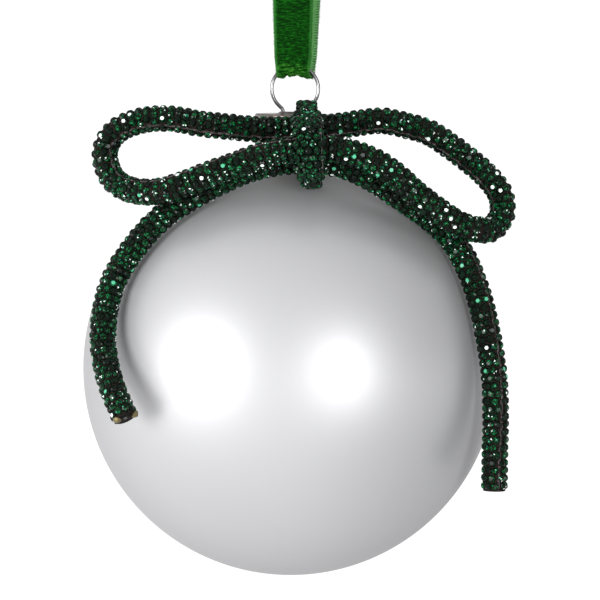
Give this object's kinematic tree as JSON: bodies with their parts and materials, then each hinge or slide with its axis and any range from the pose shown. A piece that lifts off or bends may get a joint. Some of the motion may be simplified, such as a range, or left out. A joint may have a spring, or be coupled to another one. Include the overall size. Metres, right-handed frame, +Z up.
{
  "type": "glass ball ornament",
  "caption": "Hanging satin silver glass ball with a pressed cap, a wire ring, a rhinestone cord bow and a velvet ribbon loop.",
  "frame": {"origin": "inside of the ribbon's hanging loop at its highest point, where the ornament hangs", "axes": "+Z up, the bow faces -Y, +X to the right of someone who faces the bow"},
  "size_m": [0.1027, 0.1, 0.1969],
  "materials": {
    "velvet": "green velvet pile, brighter along the edges",
    "thread": "green sewing thread",
    "spring_wire": "bright plated spring wire",
    "cap_metal": "bright silver pressed sheet",
    "silvered_glass": "opaque satin silver coat with a pearly sheen",
    "tie_wire": "soft binding wire",
    "rhinestones": "faceted emerald resin stones in a black net",
    "black_cord": "black cotton filler cord and net",
    "core_wire": "soft annealed shaping wire"
  },
  "bodies": {
    "ribbon": {"ribbon_loop": "velvet", "ribbon_stitches": "thread"},
    "ribbon_fold": {"ribbon_fold": "velvet"},
    "hanger": {"hanger_wire": "spring_wire"},
    "cap": {"cap": "cap_metal", "tie_wire": "tie_wire", "wire_twist": "tie_wire", "bow_loops": "rhinestones", "bow_tails": "rhinestones", "bow_wrap": "rhinestones", "loop_filler": "black_cord", "tail_filler": "black_cord", "loop_core_wire": "core_wire", "tail_core_wire": "core_wire"},
    "ball": {"glass_ball": "silvered_glass"}
  },
  "joints": [
    {"name": "ribbon_swing", "type": "hinge", "parent": "ribbon", "child": "ribbon_fold", "pos_m": [0, 0, -0.0701], "axis": [1, 0, 0], "range_deg": [-75, 75]},
    {"name": "ring_slide", "type": "hinge", "parent": "ribbon_fold", "child": "hanger", "pos_m": [0, 0, -0.0788], "axis": [0, 1, 0], "range_deg": [-50, 50]},
    {"name": "hanger_tilt", "type": "hinge", "parent": "hanger", "child": "cap", "pos_m": [0, 0, -0.0846], "axis": [1, 0, 0], "range_deg": [-12, 12]},
    {"name": "ball_turn", "type": "hinge", "parent": "cap", "child": "ball", "pos_m": [0, 0, -0.1461], "axis": [0, 0, 1], "continuous": true}
  ]
}
